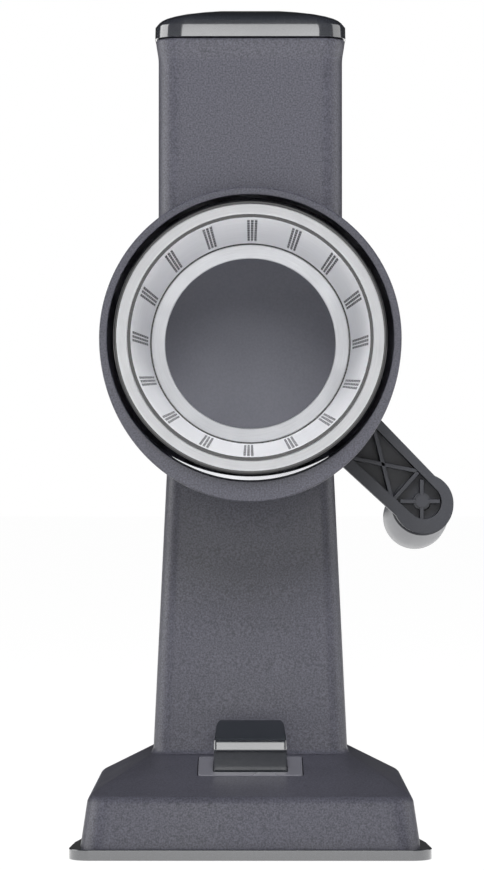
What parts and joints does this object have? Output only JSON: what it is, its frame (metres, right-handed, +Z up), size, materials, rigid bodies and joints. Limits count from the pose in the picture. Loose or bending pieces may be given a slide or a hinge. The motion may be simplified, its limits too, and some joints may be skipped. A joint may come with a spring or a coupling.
{
  "type": "rotary drum grater",
  "caption": "Hand-cranked rotary drum grater with a food chute and pusher, a round drum housing open to the front, and a column on a wide suction foot with a lever.",
  "frame": {"origin": "middle of the suction cup on the table", "axes": "+Z up, -Y towards the drum's mouth (front), +X to the right seen from the front"},
  "size_m": [0.1569, 0.2233, 0.3311],
  "materials": {
    "body_moulding": "fine speckled moulded texture",
    "gloss_trim": "gloss",
    "inner_moulding": "plain moulded",
    "screws": "zinc plated",
    "rubber": "matt",
    "bezel": "satin",
    "steel_pins": "turned",
    "bronze": "sintered",
    "clip": "bright",
    "crank_moulding": "satin",
    "drum_steel": "brushed",
    "drum_collar": "gloss",
    "drum_plate": "satin",
    "grip": "satin",
    "pusher": "plain moulded",
    "lever": "gloss"
  },
  "bodies": {
    "grater_body": {"base_shell": "body_moulding", "base_trim_ring": "gloss_trim", "base_plate": "inner_moulding", "base_plate_screws": "screws", "suction_cup": "rubber", "lever_bezel": "bezel", "lever_pin": "steel_pins", "plunger_bridge": "inner_moulding", "column_shell": "body_moulding", "column_screws": "screws", "rear_cover": "body_moulding", "rear_cover_screws": "screws", "drum_housing": "body_moulding", "hopper_chute": "body_moulding", "bearing_tube": "inner_moulding", "front_bush": "bronze", "rear_bush": "bronze", "shaft_seal": "rubber", "drum_retaining_clip": "clip", "release_spring": "steel_pins"},
    "crank": {"drive_shaft": "steel_pins", "crank_arm": "crank_moulding", "crank_screw": "screws", "knob_axle": "steel_pins"},
    "drum": {"drum_cone": "drum_steel", "drum_front_ring": "drum_steel", "drum_collar": "drum_collar", "drum_back_ring": "drum_steel", "drum_back_plate": "drum_plate", "drum_socket": "steel_pins"},
    "grip": {"crank_knob": "grip", "knob_end_cap": "grip"},
    "pusher": {"pusher_cap": "gloss_trim", "pusher_body": "pusher"},
    "lever": {"suction_lever": "lever", "cam_pin": "steel_pins"},
    "plunger": {"suction_plunger": "inner_moulding"}
  },
  "joints": [
    {"name": "crank_spin", "type": "hinge", "parent": "grater_body", "child": "crank", "pos_m": [0, 0, 0.2], "axis": [0, 1, 0], "continuous": true},
    {"name": "drum_pull", "type": "slide", "parent": "crank", "child": "drum", "axis": [0, -1, 0], "range_m": [0, 0.09]},
    {"name": "grip_spin", "type": "hinge", "parent": "crank", "child": "grip", "pos_m": [0.0733, 0.074, 0.1348], "axis": [0, 0.9956, -0.0941], "continuous": true},
    {"name": "pusher_lift", "type": "slide", "parent": "grater_body", "child": "pusher", "axis": [0, 0, 1], "range_m": [0, 0.09]},
    {"name": "lever_swing", "type": "hinge", "parent": "grater_body", "child": "lever", "pos_m": [0, -0.024, 0.019], "axis": [-1, 0, 0], "range_deg": [0, 30]},
    {"name": "plunger_lift", "type": "slide", "parent": "grater_body", "child": "plunger", "axis": [0, 0, 1], "range_m": [0, 0.0034], "deforming": ["release_spring", "suction_cup"]}
  ],
  "couplings": [
    {"joint": "plunger_lift", "follows": "lever_swing", "m_per_rad": 0.0063025}
  ]
}
